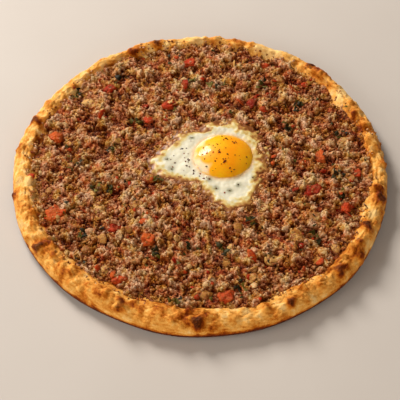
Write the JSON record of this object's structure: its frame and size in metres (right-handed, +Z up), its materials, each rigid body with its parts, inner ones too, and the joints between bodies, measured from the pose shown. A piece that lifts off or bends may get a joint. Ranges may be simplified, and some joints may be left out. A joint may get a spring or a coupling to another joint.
{
  "type": "lahmacun",
  "caption": "Thin round flatbread with a puffed, browned rim, covered with fried minced meat, diced tomato and onion, chopped parsley and an egg fried on top.",
  "frame": {"origin": "on the flat underside, below the middle of the bread's outline box", "axes": "+Z up through the toppings; the egg lies to the right of the middle (+X) and a little behind it (+Y)"},
  "size_m": [0.2598, 0.2598, 0.0189],
  "materials": {
    "crust": "baked wheat dough, golden with brown blisters, dry and matte",
    "mince": "fried minced meat in crumbs, moist with a little fat",
    "egg_white": "set egg white, moist and slightly translucent",
    "egg_yolk": "soft egg yolk, smooth and glossy",
    "tomato": "cooked diced tomato, wet and soft",
    "onion": "softened diced onion, wet and translucent",
    "herbs": "chopped parsley, wilted",
    "spice": "flakes of dried red pepper and ground black pepper"
  },
  "bodies": {
    "root": {"dough": "crust", "mince": "mince", "egg_white": "egg_white", "egg_yolk": "egg_yolk", "tomato_1": "tomato", "tomato_2": "tomato", "tomato_3": "tomato", "tomato_4": "tomato", "tomato_5": "tomato", "tomato_6": "tomato", "tomato_7": "tomato", "tomato_8": "tomato", "tomato_9": "tomato", "tomato_10": "tomato", "tomato_11": "tomato", "tomato_12": "tomato", "onion_1": "onion", "onion_2": "onion", "onion_3": "onion", "onion_4": "onion", "onion_5": "onion", "onion_6": "onion", "onion_7": "onion", "onion_8": "onion", "onion_9": "onion", "onion_10": "onion", "onion_11": "onion", "onion_12": "onion"}
  },
  "joints": []
}
